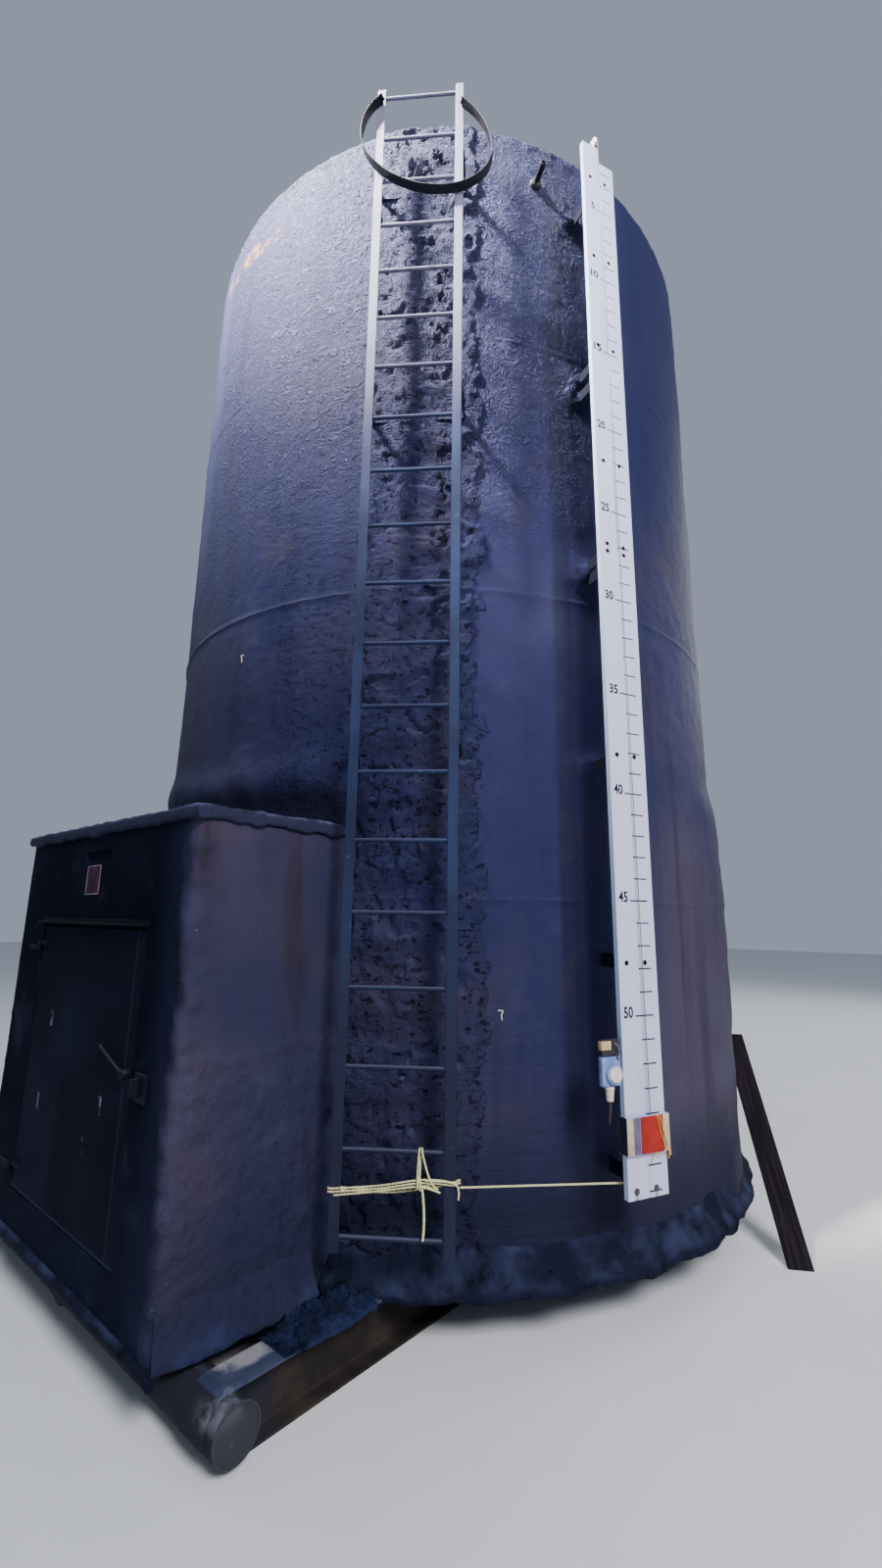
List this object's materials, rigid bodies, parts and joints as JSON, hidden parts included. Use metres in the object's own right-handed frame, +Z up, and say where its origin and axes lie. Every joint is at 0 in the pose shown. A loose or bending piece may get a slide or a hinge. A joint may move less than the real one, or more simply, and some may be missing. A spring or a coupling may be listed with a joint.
{
  "type": "insulated vertical storage tank on a skid",
  "caption": "Upright foam-insulated storage tank on a pipe-ended skid, with a walk-up valve house, a ladder with a hoop and a float gauge board.",
  "frame": {"origin": "on the ground under the tank's axis, at the underside of the skid's middle cross member", "axes": "+Z up along the tank's axis, -Y towards the valve house's door, +X to the right of someone facing the door"},
  "size_m": [4.2182, 4.6476, 6.4846],
  "materials": {
    "tank_coating": "charcoal elastomer over sprayed foam, orange-peel texture",
    "lip_foam": "blue-grey weathered coating on a ragged foam lip",
    "house_coating": "dark navy elastomer over sprayed foam",
    "skid_paint": "worn grey-blue paint with rust and mud",
    "ladder_paint": "weathered grey paint",
    "hoop_paint": "dark weathered paint",
    "dark_steel": "coated over with the foam's dark coating",
    "board_paint": "white enamel",
    "red_paint": "dull red paint",
    "rope_fibre": "pale yellow laid rope",
    "black_plastic": "black plastic and tape",
    "pale_plastic": "pale plastic cap",
    "old_timber": "dark stained old board"
  },
  "bodies": {
    "tank": {"cable_gland": "black_plastic", "cleanout_cover": "tank_coating", "cleanout_neck": "tank_coating", "cross_member_front": "skid_paint", "cross_member_middle": "skid_paint", "cross_member_rear": "skid_paint", "door_keeper": "dark_steel", "drip_cap": "dark_steel", "foot_lip_rear": "lip_foam", "foot_lip_right": "lip_foam", "front_wall_header": "house_coating", "front_wall_left": "house_coating", "front_wall_right": "house_coating", "front_wall_sill": "house_coating", "gauge_board_lower": "board_paint", "gauge_board_middle": "board_paint", "gauge_board_upper": "board_paint", "gauge_cable": "dark_steel", "gauge_pulley_head": "dark_steel", "hinge_bottom": "dark_steel", "hinge_top": "dark_steel", "house_floor": "skid_paint", "house_foot_lip_left": "lip_foam", "house_foot_lip_right": "lip_foam", "house_roof": "house_coating", "house_skirt": "lip_foam", "ladder_bracket_1": "ladder_paint", "ladder_bracket_2": "ladder_paint", "ladder_bracket_3": "ladder_paint", "ladder_bracket_4": "ladder_paint", "ladder_hoop": "hoop_paint", "ladder_lower": "ladder_paint", "ladder_upper": "ladder_paint", "leaning_board": "old_timber", "pull_pipe_front": "skid_paint", "pull_pipe_rear": "skid_paint", "rim_stub": "dark_steel", "roof": "tank_coating", "rope_line": "rope_fibre", "rope_loop": "rope_fibre", "rope_tail": "rope_fibre", "rope_wraps": "rope_fibre", "sensor_box": "black_plastic", "sensor_cable": "black_plastic", "sensor_cap": "pale_plastic", "shell_course_bottom": "tank_coating", "shell_course_second": "tank_coating", "shell_course_third": "tank_coating", "shell_course_top": "tank_coating", "side_wall_left": "house_coating", "side_wall_right": "house_coating", "sign_plate": "red_paint", "skid_runner_left": "skid_paint", "skid_runner_right": "skid_paint", "tank_bottom": "skid_paint"},
    "door": {"door": "house_coating", "door_handle": "dark_steel"},
    "gauge_target": {"gauge_target": "red_paint"}
  },
  "joints": [
    {"name": "door_hinge", "type": "hinge", "parent": "tank", "child": "door", "pos_m": [-0.592, -2.424, 1], "axis": [0, 0, -1], "range_deg": [0, 110]},
    {"name": "gauge_target_slide", "type": "slide", "parent": "tank", "child": "gauge_target", "axis": [0, 0, 1], "range_m": [0, 4.9], "deforming": ["gauge_cable"]}
  ]
}
